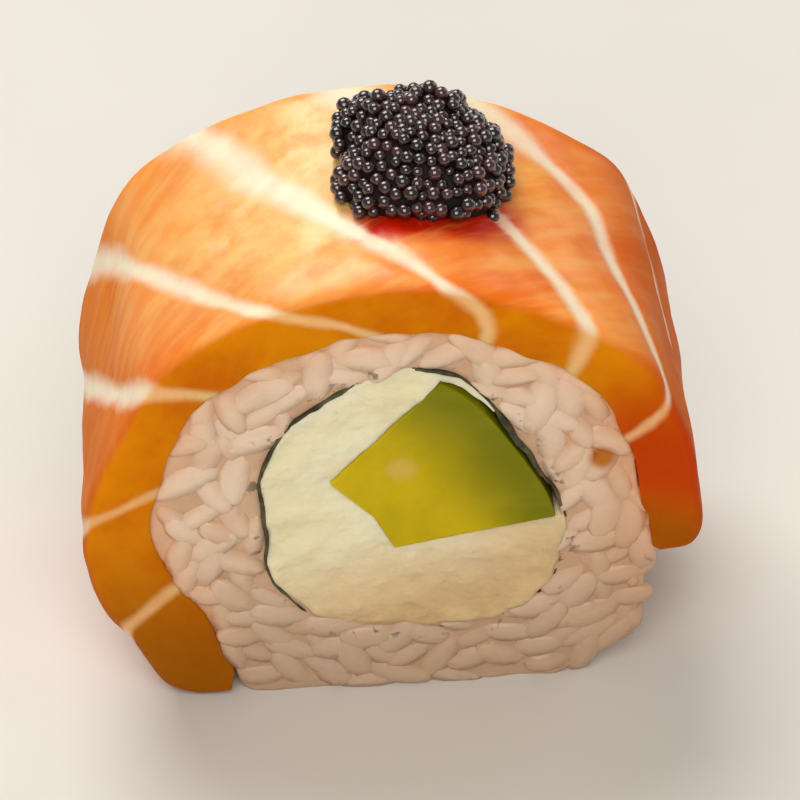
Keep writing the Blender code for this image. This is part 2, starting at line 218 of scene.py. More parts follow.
def reach_of(loop):
    """How far a loop lies from the roll's middle, as a function of the angle."""
    rays = loop - ROLL_MIDDLE
    angle, length = np.arctan2(rays[:, 1], rays[:, 0]), lengths(rays)
    return lambda at: np.interp(at, angle, length, period=math.tau)


rice_loop = np.maximum(even(spline(RICE_OUTLINE, True), 360, True), (-np.inf, 0.0))  # on the floor
sheet_loop = even(spline(NORI_OUTLINE, True), 360, True)
filling_loop = grown(sheet_loop, -NORI_THICKNESS - CLEARANCE)
rice_reach = reach_of(rice_loop)
sheet_reach = reach_of(sheet_loop)


def angle_round(points):
    """The angle of each point round the roll's middle."""
    return np.arctan2(points[:, 2] - ROLL_MIDDLE[1], points[:, 0] - ROLL_MIDDLE[0])


def from_the_middle(reach, angle, y):
    """Points at a reach and an angle from the roll's middle."""
    x, z = ROLL_MIDDLE[0] + reach * np.cos(angle), ROLL_MIDDLE[1] + reach * np.sin(angle)
    return columns(x, y, z)


# ---- unevenness


def chance(cells, seed):
    """The same random number from -1 to 1 each time for each whole-numbered cell."""
    mixed = (cells * np.array([73856093, 19349663, 83492791])).sum(-1) + 374761393 * (seed + 1)
    mixed = (mixed ^ (mixed >> 13)) * 1274126177 & 0x7FFFFFFF
    mixed = (mixed ^ (mixed >> 15)) * 668265263 & 0x7FFFFFFF
    return mixed / 0x3FFFFFFF - 1.0


def ripple(points, size, seed):
    """Smooth unevenness from -1 to 1 over the points, in lumps about size across."""
    scaled = np.asarray(points, float) / size
    low = np.floor(scaled).astype(np.int64)
    part = scaled - low
    ease = part * part * (3 - 2 * part)
    total = np.zeros(len(scaled))
    for corner in itertools.product((0, 1), repeat=3):
        share = np.prod(np.where(corner, ease, 1 - ease), axis=-1)
        total += share * chance(low + corner, seed)
    return total


def relief(points, *waves):
    """Unevenness made of several ripples, each as (height, size, seed)."""
    return sum(height * ripple(points, size, seed) for height, size, seed in waves)


def round_it(radius, angle, y):
    """Points on a cylinder, for unevenness that closes on itself round the roll."""
    return columns(radius * np.cos(angle), radius * np.sin(angle), y)


def rise(low, high, value):
    """0 below low, 1 above high, and a smooth rise between; low may be the larger."""
    t = np.clip((value - low) / (high - low), 0, 1)
    return t * t * (3 - 2 * t)


# ---- meshes


def placed(name, data):
    """A new object in the scene."""
    made = bpy.data.objects.new(name, data)
    bpy.context.scene.collection.objects.link(made)
    return made


def set_values(mesh, values):
    """Stores a number or a vector for each point of a mesh, under each name."""
    for name, numbers in values.items():
        numbers = np.asarray(numbers, np.float32)
        kind, field = ("FLOAT", "value") if numbers.ndim == 1 else ("FLOAT_VECTOR", "vector")
        stored = mesh.attributes.get(name) or mesh.attributes.new(name, kind, "POINT")
        stored.data.foreach_set(field, numbers.ravel())


def piece_of(name, points, faces, finish, values=None, sharp_at=None):
    """An object of points in millimetres, smooth, closed and with its faces outwards."""
    mesh = bpy.data.meshes.new(name)
    mesh.from_pydata((np.asarray(points) * MM).tolist(), [], [tuple(face) for face in faces])
    set_values(mesh, values or {})
    shape = bmesh.new()
    shape.from_mesh(mesh)
    bmesh.ops.recalc_face_normals(shape, faces=shape.faces)
    shape.to_mesh(mesh)
    shape.free()
    if finish:
        mesh.materials.append(finish)
    mesh.shade_smooth()
    if sharp_at:
        mesh.set_sharp_from_angle(angle=math.radians(sharp_at))
    return placed(name, mesh)


def quads_between(points, rings, closed):
    """Quads through the points, which lie in so many equal rings; open ends get a cap."""
    grid = np.arange(len(points)).reshape(rings, -1)
    beside = np.roll(grid, -1, axis=1)
    quads = np.stack([grid, beside, np.roll(beside, -1, 0), np.roll(grid, -1, 0)], axis=-1)
    if closed:
        return quads.reshape(-1, 4).tolist()
    return quads[:-1].reshape(-1, 4).tolist() + [grid[0].tolist(), grid[-1, ::-1].tolist()]


def round_of_the_ring(face, across, along, beneath, depth=0.0, top=1.0, steps=0):
    """The ring of points that goes round a layer's section from its inner side over the front face.

    It gives for each point its place along Y and its share of the way from the inner side to the
    outer one. The outer corner is rounded in so many steps, from the share top on the face to a
    depth behind it.
    """
    turns = np.linspace(0, math.pi / 2, steps)
    front = [(-face, share) for share in np.linspace(0, top, across, endpoint=not steps)]
    front += [(-face + depth * (1 - math.cos(a)), top + (1 - top) * math.sin(a)) for a in turns]
    outer = [(y, 1.0) for y in np.linspace(-face + depth, face - depth, along + 2)[1:-1]]
    back = [(-y, share) for y, share in reversed(front)]
    inner = [(y, 0.0) for y in np.linspace(face, -face, beneath + 2)[1:-1]]
    return np.array(front + outer + back + inner)


def carried_round(ring, stations):
    """The angle, the place along Y and the share of each point of a ring at stations round the roll."""
    angle = np.linspace(-math.pi, math.pi, stations, endpoint=False)
    return np.repeat(angle, len(ring)), *np.tile(ring, (stations, 1)).T


def move_cuts(points, y, face, fade, amount):
    """Moves a piece's two cuts out along Y by the amount, and less behind them, down to a depth of fade."""
    points[:, 1] += np.sign(y) * amount * rise(fade, 0.0, face - np.abs(y))


def finished(piece, node):
    """Puts a piece on the roll's one body, in place of its solid."""
    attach(piece, "root")
    if node:
        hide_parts(node)


# ---- node trees


def srgb(red, green, blue):
    """A colour given as it looks on a screen, from 0 to 255."""
    parts = [c / 255 for c in (red, green, blue)]
    return (*[c / 12.92 if c <= 0.04045 else ((c + 0.055) / 1.055) ** 2.4 for c in parts], 1.0)


def noise_scale(size):
    """The scale at which noise lies in patches about size millimetres across."""
    return 0.6 / (size * MM)


class Nodes:
    """A tree of nodes in the making."""

    def __init__(self, tree):
        self.tree = tree

    def join(self, value, socket):
        """Links a socket's value to a socket, or sets it to a plain value or a screen's colour."""
        if isinstance(value, bpy.types.NodeSocket):
            self.tree.links.new(value, socket)
        else:
            socket.default_value = srgb(*value) if socket.type == "RGBA" else value

    def put(self, kind, settings=None, **inputs):
        """A new node's outputs. Its inputs are given by their labels, or by i and their numbers."""
        node = self.tree.nodes.new(kind)
        for key, value in (settings or {}).items():
            setattr(node, key, value)
        for label, value in inputs.items():
            numbered = label[0] == "i" and label[1:].isdigit()
            self.join(value, node.inputs[int(label[1:]) if numbered else label.replace("_", " ")])
        return node.outputs

    def reckon(self, operation, one, other):
        return self.put("ShaderNodeMath", {"operation": operation}, i0=one, i1=other)[0]

    def plus(self, one, other):
        return self.reckon("ADD", one, other)

    def minus(self, one, other):
        return self.reckon("SUBTRACT", one, other)

    def times(self, one, other):
        return self.reckon("MULTIPLY", one, other)

    def blend(self, share, one, other):
        """A colour that goes from one to the other as share goes from 0 to 1."""
        return self.put("ShaderNodeMix", {"data_type": "RGBA"}, i0=share, i6=one, i7=other)[2]

    def ranged(self, value, low, high, to_low=0.0, to_high=1.0):
        """The value brought from low..high to to_low..to_high with a soft start and end."""
        return self.put(
            "ShaderNodeMapRange", {"interpolation_type": "SMOOTHSTEP"},
            Value=value, From_Min=low, From_Max=high, To_Min=to_low, To_Max=to_high,
        )[0]

    def patches(self, place, scale, detail, roughness=0.5):
        """Noise from 0 to 1."""
        return self.put(
            "ShaderNodeTexNoise", Vector=place, Scale=scale, Detail=detail, Roughness=roughness
        )[0]


def group_of(name, inputs, outputs, kind="ShaderNodeTree"):
    """A tree with named sockets, the values that it is given, and the sockets that it fills."""
    tree = bpy.data.node_groups.new(name, kind)
    for way, sockets in (("INPUT", inputs), ("OUTPUT", outputs)):
        for label, holds in sockets.items():
            tree.interface.new_socket(label, in_out=way, socket_type="NodeSocket" + holds)
    nodes = Nodes(tree)
    return nodes, nodes.put("NodeGroupInput"), tree.nodes.new("NodeGroupOutput").inputs


# ---- material tools


def mottling_group():
    """Two colours in soft patches, broken up by finer ones."""
    nodes, given, made = group_of(
        "mottling",
        {"Place": "Vector", "Patches": "Float", "Pale": "Color", "Deep": "Color"},
        {"Colour": "Color"},
    )
    share = nodes.ranged(nodes.patches(given["Place"], given["Patches"], 4.0, 0.6), 0.32, 0.68)
    nodes.join(nodes.blend(share, given["Pale"], given["Deep"]), made["Colour"])
    return nodes.tree


def moisture_group():
    """The film of moisture on food: how rough it is from place to place, and its small unevenness."""
    nodes, given, made = group_of(
        "moisture",
        {"Place": "Vector", "Beads": "Float", "Wet": "Float", "Dry": "Float"},
        {"Roughness": "Float", "Height": "Float"},
    )
    runs = nodes.patches(given["Place"], nodes.times(given["Beads"], 0.12), 2.0)
    span = nodes.minus(given["Dry"], given["Wet"])
    roughness = nodes.plus(given["Wet"], nodes.times(span, nodes.ranged(runs, 0.35, 0.65)))
    nodes.join(roughness, made["Roughness"])
    nodes.join(nodes.patches(given["Place"], given["Beads"], 3.0, 0.55), made["Height"])
    return nodes.tree


MOTTLING = mottling_group()
MOISTURE = moisture_group()


class Finish(Nodes):
    """A material in the making, with its shader's plain values set."""

    def __init__(self, name, **settings):
        self.material = bpy.data.materials.new(name)
        self.material.use_nodes = True
        super().__init__(self.material.node_tree)
        self.shader = self.tree.nodes["Principled BSDF"].inputs
        for label, value in settings.items():
            self.shader[label.replace("_", " ")].default_value = value
        self.place = self.put("ShaderNodeTexCoord")["Object"]

    def read(self, name, kind="Fac"):
        """What the mesh's attribute of that name says."""
        return self.put("ShaderNodeAttribute", {"attribute_name": name})[kind]

    def speckle(self, size, detail=3.0, roughness=0.5, place=None):
        """Noise from 0 to 1 in patches about size millimetres across."""
        return self.patches(place or self.place, noise_scale(size), detail, roughness)

    def turned(self, rotation, scale):
        """The place turned and drawn out, for noise that runs one way."""
        return self.put("ShaderNodeMapping", Vector=self.place, Rotation=rotation, Scale=scale)[0]

    def mottled(self, size, pale, deep):
        return self.put(
            "ShaderNodeGroup", {"node_tree": MOTTLING},
            Place=self.place, Patches=noise_scale(size), Pale=pale, Deep=deep,
        )["Colour"]

    def moist(self, bead, wet, dry):
        """A roughness and a height for beads of moisture of that size in millimetres."""
        film = self.put(
            "ShaderNodeGroup", {"node_tree": MOISTURE},
            Place=self.place, Beads=noise_scale(bead), Wet=wet, Dry=dry,
        )
        return film["Roughness"], film["Height"]

    def near(self, spot, size):
        """1 close to a spot given in millimetres, fading to 0 at size millimetres from it."""
        centre = tuple(value * MM for value in spot)
        measure = {"operation": "DISTANCE"}
        gap = self.put("ShaderNodeVectorMath", measure, i0=self.place, i1=centre)["Value"]
        return self.ranged(gap, 0.35 * size * MM, size * MM, 1.0, 0.0)

    def wired(self, colour, roughness, height, relief):
        """The material, with its colour, its roughness and a bump of relief millimetres."""
        bump = self.put("ShaderNodeBump", Strength=1.0, Distance=relief * MM, Height=height)
        self.join(colour, self.shader["Base Color"])
        self.join(roughness, self.shader["Roughness"])
        self.join(bump[0], self.shader["Normal"])
        return self.material


# ---- materials


def salmon_flesh():
    """Orange flesh in fine streaks between white lines of fat, deeper where the knife cut it, with painted
    shade low on its sides and by its ends, and a painted sheen in its paler patches.
    """
    made = Finish(
        "salmon_flesh", Subsurface_Weight=0.5, Subsurface_Radius=(1.0, 0.30, 0.06),
        Subsurface_Scale=0.0020, Coat_Roughness=0.18, Coat_IOR=1.40, Specular_IOR_Level=0.04,
    )
    on_cut, wet = made.read("cut"), made.read("wet")
    broken = made.speckle(1.4, 3.0, 0.6)
    streaks = made.speckle(1.6, 3.0, 0.55, made.read("flow", "Vector"))
    feather = made.plus(broken, made.times(streaks, 0.6))
    line = made.plus(made.read("fat_line"), made.minus(feather, 0.8))
    fat = made.times(made.ranged(line, 1.75, 0.15), made.read("fat_strength"))
    fat = made.times(fat, made.ranged(streaks, 0.2, 0.6, 0.82, 1.0))
    fat = made.times(fat, made.ranged(on_cut, 0.0, 1.0, 1.0, 0.85))
    fat_colour = made.blend(on_cut, (255, 234, 204), (255, 208, 144))
    top = made.mottled(7.0, (252, 152, 56), (238, 114, 26))
    top = made.blend(made.ranged(streaks, 0.38, 0.70, 0.0, 0.45), top, (255, 190, 106))
    # painted shade: the outside is darker low on its sides and towards its right end
    top = made.blend(made.read("flank"), top, (204, 92, 14))
    cut = made.mottled(5.0, (232, 142, 0), (212, 108, 0))
    cut = made.blend(made.ranged(streaks, 0.4, 0.8, 0.0, 0.2), cut, (240, 150, 24))
    flesh = made.blend(on_cut, top, cut)
    flesh = made.blend(made.read("right_flap"), flesh, (200, 62, 0))
    # painted shade: the cut faces darken low by the foot and towards the free end
    flesh = made.blend(made.read("foot"), flesh, (150, 84, 2))
    # the pale patches: paler flesh with a painted sheen of the lamp on it
    pale = made.times(made.read("pale"), made.ranged(broken, 0.3, 0.65, 0.45, 0.95))
    flesh = made.blend(pale, flesh, (255, 212, 136))
    colour = made.blend(fat, flesh, fat_colour)
    stain = made.times(made.read("stain"), made.ranged(streaks, 0.25, 0.55, 0.55, 1.0))
    stain = made.times(stain, made.ranged(fat, 0.3, 1.0, 1.0, 0.45))
    colour = made.blend(made.ranged(stain, 0.1, 0.9), colour, (208, 30, 2))
    roughness, beads = made.moist(0.5, 0.22, 0.40)
    roughness = made.plus(roughness, made.ranged(wet, 0.0, 0.9, 0.3, 0.0))
    grain = made.plus(made.times(streaks, 0.6), made.times(beads, 0.4))
    height = made.minus(grain, made.times(fat, 0.4))
    film = made.times(wet, made.ranged(broken, 0.3, 0.6, 0.5, 1.0))
    made.join(film, made.shader["Coat Weight"])
    return made.wired(colour, roughness, height, 0.15)


def sushi_rice():
    """Cooked rice: pale and moist, each grain a little different, with specks of nori by the sheet, painted
    shade towards the floor and painted orange light from the salmon beside it.
    """
    made = Finish(
        "sushi_rice", Coat_Weight=0.4, Coat_Roughness=0.22, Coat_IOR=1.36, Specular_IOR_Level=0.3
    )
    glue = made.mottled(2.0, (220, 178, 142), (204, 160, 122))
    grain = made.mottled(3.0, (244, 214, 186), (232, 196, 164))
    colour = made.blend(made.read("crown"), glue, grain)
    tint = made.ranged(made.read("grain_chance"), 0.0, 1.0, 0.0, 0.45)
    colour = made.blend(tint, colour, (250, 230, 208))
    sideways, _, height = made.put("ShaderNodeSeparateXYZ", Vector=made.place)
    colour = made.blend(made.ranged(sideways, 0.010, 0.019, 0.0, 0.6), colour, (214, 156, 108))
    # painted shade: the rice darkens towards the floor
    colour = made.blend(made.ranged(height, 0.020, 0.002, 0.0, 0.7), colour, (186, 152, 122))
    specks = made.times(made.ranged(made.speckle(0.55, 2.0), 0.62, 0.70), made.read("by_the_nori"))
    colour = made.blend(made.times(specks, 0.75), colour, (96, 84, 60))
    # painted reflection: the rice takes a lighter orange from the salmon beside it
    colour = made.blend(made.times(made.read("by_the_salmon"), 0.45), colour, (244, 190, 150))
    colour = made.blend(made.near(RICE_FLECK, 1.4), colour, (190, 108, 0))
    return made.wired(colour, *made.moist(0.45, 0.30, 0.55), 0.10)


def nori_sheet():
    """Damp seaweed: near black, a little green, with a rough, torn grain."""
    made = Finish("nori_wrap", Specular_IOR_Level=0.35)
    colour = made.mottled(0.8, (100, 94, 62), (48, 46, 30))
    return made.wired(colour, *made.moist(0.3, 0.4, 0.75), 0.12)


def cream_cheese():
    """Soft white cheese, with painted shade that leaves it warmer and duller towards the foot and the right,
    and the knife's faint smears.
    """
    made = Finish(
        "cream_cheese", Subsurface_Weight=0.5, Subsurface_Radius=(1.0, 0.8, 0.5),
        Subsurface_Scale=0.0010, Specular_IOR_Level=0.3,
    )
    sideways, _, height = made.put("ShaderNodeSeparateXYZ", Vector=made.place)
    shade_fall = made.minus(height, made.times(sideways, 0.35))
    shade_fall = made.plus(shade_fall, made.times(made.speckle(6.0), 0.006))
    pale = made.mottled(4.0, (255, 244, 210), (250, 236, 192))
    low = made.mottled(3.0, (230, 198, 148), (214, 178, 128))
    # painted shade: lower and further right, the cheese goes warmer and darker
    colour = made.blend(made.ranged(shade_fall, 0.009, 0.021), low, pale)
    roughness, beads = made.moist(0.6, 0.38, 0.55)
    smears = made.speckle(1.4, place=made.turned((0, 0.6, 0), (0.35, 1, 1.6)))
    return made.wired(colour, roughness, made.plus(beads, made.times(smears, 0.7)), 0.24)


def ripe_avocado():
    """Ripe avocado: olive yellow inside, green towards the skin, smooth and a little oily."""
    made = Finish(
        "ripe_avocado", Subsurface_Weight=0.3, Subsurface_Radius=(0.9, 1.0, 0.1),
        Subsurface_Scale=0.0010, Coat_Weight=0.05, Coat_Roughness=0.3, Specular_IOR_Level=0.12,
    )
    drift = made.times(made.minus(made.speckle(3.5), 0.5), 2.6)
    depth = made.plus(made.read("from_the_skin"), drift)
    flesh = made.mottled(4.5, (216, 188, 10), (194, 172, 0))
    colour = made.blend(made.ranged(depth, 0.6, 8.0), (126, 126, 0), flesh)
    colour = made.blend(made.times(made.near(AVOCADO_FLECK, 1.6), 0.6), colour, (226, 190, 96))
    roughness, beads = made.moist(0.7, 0.34, 0.5)
    strokes = made.speckle(1.6, 2.0, place=made.turned((0, -0.7, 0), (0.25, 1, 1.8)))
    colour = made.blend(made.ranged(strokes, 0.45, 0.75, 0.0, 0.06), colour, (228, 208, 60))
    return made.wired(colour, roughness, made.plus(beads, made.times(strokes, 0.4)), 0.10)


def black_eggs():
    """Glossy black roe, each egg a little more purple or brown than the next, and a dull core painted near
    black as the shade between the eggs.
    """
    made = Finish("black_eggs", Coat_Roughness=0.12, Coat_IOR=1.8, Specular_IOR_Level=0.5)
    whole = made.read("whole_egg")
    skin = made.mottled(1.5, (54, 26, 24), (22, 11, 13))
    lighter = made.ranged(made.read("egg_chance"), 0.55, 1.0, 0.0, 0.6)
    skin = made.blend(lighter, skin, (80, 42, 42))
    roughness, beads = made.moist(0.25, 0.10, 0.22)
    roughness = made.plus(roughness, made.ranged(whole, 0.0, 1.0, 0.7, 0.0))
    made.join(made.times(whole, 0.8), made.shader["Coat Weight"])
    # the core under the eggs is painted near black, as the shade between them
    return made.wired(made.blend(whole, (10, 6, 8), skin), roughness, beads, 0.015)


def pale_floor():
    made = Finish("pale_floor")
    colour = made.mottled(60.0, (226, 222, 216), (220, 216, 210))
    return made.wired(colour, *made.moist(2.0, 0.5, 0.6), 0.02)


# ---- scattering


def scatter_tree():
    """Copies of one shape laid over a bed, turned and sized by chance, and pressed a little into it.

    The bed's attribute "bare" says how thickly they lie, and "lie" which way they point.
    """
    sizes = ("Spacing", "Sink", "Uneven", "Spin", "Tilt", "Smallest", "Largest")
    inputs = {"Bed": "Geometry", "Shape": "Object", **dict.fromkeys(sizes, "Float")}
    inputs |= {"Draw": "Int", "Finish": "Material"}
    nodes, given, made = group_of("scattered", inputs, {"Pieces": "Geometry"}, "GeometryNodeTree")

    def named(name, kind):
        return nodes.put("GeometryNodeInputNamedAttribute", {"data_type": kind}, Name=name)[0]

    def drawn(low, high, number):
        """A random value for each piece; every number is a draw of its own."""
        seed = nodes.plus(given["Draw"], float(number))
        kind = {"data_type": "FLOAT"}
        return nodes.put("FunctionNodeRandomValue", kind, i2=low, i3=high, Seed=seed)[1]

    points = nodes.put(
        "GeometryNodeDistributePointsOnFaces", {"distribute_method": "POISSON"},
        Mesh=given["Bed"], Distance_Min=given["Spacing"], Density_Max=3.0e7,
        Density_Factor=named("bare", "FLOAT"), Seed=given["Draw"],
    )
    upright = nodes.put(
        "FunctionNodeAxesToRotation", {"primary_axis": "Z", "secondary_axis": "X"},
        Primary_Axis=points["Normal"], Secondary_Axis=named("lie", "FLOAT_VECTOR"),
    )[0]
    turns = [
        drawn(nodes.times(given[limit], -1.0), given[limit], number)
        for number, limit in enumerate(("Tilt", "Tilt", "Spin"), 1)
    ]
    turn = nodes.put("ShaderNodeCombineXYZ", X=turns[0], Y=turns[1], Z=turns[2])[0]
    turn = nodes.put("FunctionNodeEulerToRotation", Euler=turn)[0]
    turned = nodes.put(
        "FunctionNodeRotateRotation", {"rotation_space": "LOCAL"}, Rotation=upright, Rotate_By=turn
    )[0]
    shape = nodes.put(
        "GeometryNodeObjectInfo", {"transform_space": "ORIGINAL"},
        Object=given["Shape"], As_Instance=True,
    )["Geometry"]
    sink, uneven = given["Sink"], given["Uneven"]
    depth = drawn(nodes.minus(sink, uneven), nodes.plus(sink, uneven), 6)
    down = nodes.put(
        "ShaderNodeVectorMath", {"operation": "SCALE"},
        Vector=points["Normal"], Scale=nodes.times(depth, -1.0),
    )[0]
    sunk = nodes.put("GeometryNodeSetPosition", Geometry=points["Points"], Offset=down)[0]
    copies = nodes.put(
        "GeometryNodeInstanceOnPoints", Points=sunk, Instance=shape, Rotation=turned,
        Scale=drawn(given["Smallest"], given["Largest"], 4),
    )[0]
    marked = nodes.put(
        "GeometryNodeStoreNamedAttribute", {"data_type": "FLOAT", "domain": "INSTANCE"},
        Geometry=copies, Name="piece_chance", Value=drawn(0.0, 1.0, 5),
    )[0]
    real = nodes.put("GeometryNodeRealizeInstances", Geometry=marked)[0]
    final = nodes.put("GeometryNodeSetMaterial", Geometry=real, Material=given["Finish"])[0]
    nodes.join(final, made["Pieces"])
    return nodes.tree


def scattered(name, bed, tree, shape, **sizes):
    """The pieces that the tree lays on a bed, as a plain mesh of their own."""
    lay = bed.modifiers.new("lay", "NODES")
    lay.node_group = tree
    sizes["Shape"] = shape
    for item in tree.interface.items_tree:
        if item.item_type == "SOCKET" and item.in_out == "INPUT" and item.name in sizes:
            lay[item.identifier] = sizes[item.name]
    graph = bpy.context.evaluated_depsgraph_get()
    mesh = bpy.data.meshes.new_from_object(bed.evaluated_get(graph))
    bed.modifiers.remove(lay)
    bpy.data.objects.remove(shape)
    mesh.name = name
    mesh.shade_smooth()
    return placed(name, mesh)


def points_of(mesh):
    flat = np.zeros(len(mesh.vertices) * 3, np.float32)
    mesh.vertices.foreach_get("co", flat)
    return flat.reshape(-1, 3).astype(float) / MM


def set_points(mesh, points):
    mesh.vertices.foreach_set("co", (points * MM).astype(np.float32).ravel())
    mesh.update()


def values_of(mesh, name):
    flat = np.zeros(len(mesh.vertices), np.float32)
    mesh.attributes[name].data.foreach_get("value", flat)
    return flat


# ---- salmon


def fat_lines(run, reach):
    """For each place on the slice, how many half widths off the nearest line of fat is, and its strength."""
    best, strength = np.full(len(run), 9.0), np.zeros(len(run))
    here = columns(run, reach)
    wander = 1 + 0.3 * ripple(columns(run, reach, 0 * run), 3.4, 5)
    for back_width, front_width, tone, knots in FAT_LINES:
        line = even(spline(knots, False, 6), 24)
        middle_width = 0.6 * front_width + 0.4 * back_width
        for one, other in zip(line, line[1:]):
            along = other - one
            t = np.clip(((here - one) @ along) / (along @ along), 0, 1)
            gap = lengths(here - one - t[:, None] * along)
            widths = (front_width, middle_width, back_width)
            width = np.interp(one[1] + t * along[1], (-HALF, 0, HALF), widths)
            share = gap / (width * wander)
            closer = share < best
            best[closer] = share[closer]
            strength[closer] = tone
    return best, strength


def pale_sheen_patch(run, reach, at_run, at_reach, run_size, reach_size):
    """A soft oval, 1 in its middle, where the flesh is paler and a sheen is painted on it."""
    return np.exp(-((((run - at_run) / run_size) ** 2 + ((reach - at_reach) / reach_size) ** 2)))


def hang(point):
    """How slack the slice hangs on the left at a point of its outside."""
    x, z = point
    return max(0.0, -x / 21.5) * math.sin(math.pi * min(max((z - 6.0) / 21.0, 0.0), 1.0))


def roe_stain(points):
    """1 on the salmon just in front of the roe, fading outwards, where its juice has run."""
    x, y = ((points[:, k] - ROE_CENTRE[k]) / ROE_HALF_SIZE[k] for k in (0, 1))
    turn = np.arctan2(y, x)
    beyond = np.maximum(np.hypot(x, y) / roe_reach(turn) - 1, 0) * 6
    return np.exp(-((beyond / 2.3) ** 2)) * rise(0.3, 0.82, np.cos(turn + 1.38)) * (points[:, 2] > 33)


def salmon_values(points, place, reach, share, thickness):
    """What the salmon's colours and gloss read, apart from its lines of fat."""
    y, height = points[:, 1], points[:, 2]
    depth_in = HALF - np.abs(y)
    # painted shade on the cut faces, low by the foot and towards the free end
    painted_end_shade = rise(21, 2, height) * (points[:, 0] < 0) + 0.85 * rise(91, 98, place)
    # pale patches on the top: paler flesh and a painted sheen from the lamp on the wet film
    pale = sum(amount * pale_sheen_patch(place, y, *spot) for amount, *spot in PALE_SHEEN_PATCHES)
    on_cut = 0.3 + 0.7 * rise(2.2, 0.3, depth_in)
    right = rise(72, 84, place + 0.3 * y) * (0.95 - 0.45 * rise(90, 98, place))
    film = rise(0.3, 2.2, depth_in) * rise(28, 37, height) * rise(90, 72, place)
    # painted shade on the low sides of the outside and on its right end
    sides = 0.62 * rise(35, 21, height) + 0.3 * rise(70, 80, place)
    across = place + 0.78 * np.clip(reach, -HALF, HALF)
    flow = columns(across * 0.25, (reach - 0.6 * place) * 1.6, share * thickness)
    return {
        "pale": np.clip(pale, 0, 1) * (share > 0.9),
        "right_flap": on_cut * right,
        "foot": painted_end_shade * rise(3.0, 0.4, depth_in) * 0.85,
        "wet": 0.9 * film + 0.02,
        "flank": np.clip(sides, 0, 0.75),
        "stain": roe_stain(points),
        "flow": flow * MM,
    }


def draped_salmon(finish, stations=380):
    """The slice over the rice: lines of fat lie a little low, and the flesh between them swells."""
    under = even(stretch(grown(rice_loop, CLEARANCE), SALMON_FOOT, SALMON_FREE_END), stations)
    outside = even(spline(SALMON_OUTSIDE, False), stations)
    run = run_along(outside)
    ring = round_of_the_ring(HALF, 20, 88, 10, CUT_EDGE, 0.8, 8)
    y, share = np.tile(ring, (stations, 1)).T
    low, high = np.repeat(under, len(ring), 0), np.repeat(outside, len(ring), 0)
    thickness = lengths(high - low)
    way = (high - low) / thickness[:, None]
    toward = np.arctan2(low[:, 1] - ROLL_MIDDLE[1], low[:, 0] - ROLL_MIDDLE[0])
    low = low + way * (rice_edge(toward, y) - rice_reach(toward))[:, None]
    place = np.repeat(run, len(ring))
    beneath = (share == 0) & (np.abs(y) < HALF)
    reach = np.sign(y) * (np.abs(y) + (1 - share) * thickness)
    reach[beneath] = 30  # past every line of fat
    gap, strength = fat_lines(place, reach)
    wave = np.array([
        noise.noise(Vector((x * 0.13, v * 0.11, z * 0.13))) for x, z, v in zip(high[:, 0], high[:, 1], y)
    ])
    solid = columns(high[:, 0], y, high[:, 1])
    swell = 0.16 * (1 - np.exp(-((gap / 2.2) ** 2))) - 0.16
    lift = swell + relief(solid, (0.20, 4.5, 1), (0.04, 1.5, 2))
    lift *= rise(0.75, 1.0, share) * rise(0, 4, place) * rise(0, 4, run[-1] - place)
    section = low + (high - low) * (share * (1 + 0.09 * wave))[:, None] + way * lift[:, None]
    slack = SALMON_BULGE * np.minimum(1.25 * share, 1) * (0.5 - y / (2 * HALF))
    section[:, 0] -= slack * np.repeat([hang(p) for p in outside], len(ring))
    on_face = rise(0.35, 0.0, HALF - np.abs(y)) * (~beneath)
    dent = 0.05 + 0.06 * np.exp(-(gap**2)) + relief(solid, (0.05, 2.4, 3), (0.02, 0.8, 4))
    y = y - np.sign(y) * np.maximum(dent, 0) * on_face
    points = columns(section[:, 0], y, np.maximum(section[:, 1], 0))
    bite = rise(0.02, 0.16, 1 - share + 0.02 * ripple(solid, 2.0, 6))
    values = {
        "fat_line": gap,
        "fat_strength": strength,
        "cut": rise(1.5, 0.2, HALF - np.abs(y)) * bite,
        **salmon_values(points, place, reach, share, thickness),
    }
    return piece_of("draped_salmon", points, quads_between(points, stations, False), finish, values)


# ---- rice


def bare_flank(points):
    """1 on the flank low on the right that the salmon leaves bare, and 0 elsewhere."""
    angle = angle_round(points)
    return rise(-1.05, -0.9, angle) * rise(-0.29, -0.42, angle)


def cover(angle):
    """How far rice and cheese are smeared together over the nori's edge, from 0 to 1."""
    foot = rise(-2.6, -2.0, angle) * rise(0.0, -0.35, angle)
    top = 0.75 * np.exp(-(((angle - 1.75) / 0.25) ** 2))
    return np.clip(foot * 0.8 + top, 0, 1)


def crinkle(angle, y):
    """How far the sheet of nori wanders from its outline."""
    return relief(round_it(11, angle, y), (0.28, 2.6, 21), (0.12, 1.1, 22))


def crumbled(angle, y):
    """How far the cheese's edge wanders in and out where it is smeared into the rice."""
    return cover(angle) * relief(round_it(9, angle, y), (0.55, 1.8, 23), (0.34, 0.8, 24))


def rice_hole(angle, y):
    """How far in the rice reaches: up to the nori, and here and there over its edge."""
    around = round_it(9, angle, y)
    smeared = 0.10 * (1 + ripple(around, 1.3, 34)) + (0.08 + 0.12 * cover(angle)) * ripple(around, 0.6, 35)
    return sheet_reach(angle) + crinkle(angle, y) + crumbled(angle, y) - smeared - 0.30 * cover(angle)


def rice_edge(angle, y):
    """How far out the rice reaches: it is uneven where it meets the salmon."""
    return rice_reach(angle) + relief(round_it(17, angle, y), (0.34, 2.8, 36), (0.14, 1.2, 37))


def ring_values(points):
    """What the rice's colours read: how near a place is to the nori and to the salmon."""
    angle = angle_round(points)
    reach = np.hypot(points[:, 2] - ROLL_MIDDLE[1], points[:, 0] - ROLL_MIDDLE[0])
    covered = rise(-0.5, -0.2, angle) + rise(-2.2, -2.6, angle)
    return {
        "by_the_nori": rise(1.8, 0.2, reach - sheet_reach(angle)),
        "by_the_salmon": rise(2.2, 0.0, rice_reach(angle) - reach) * np.clip(covered, 0, 1),
    }


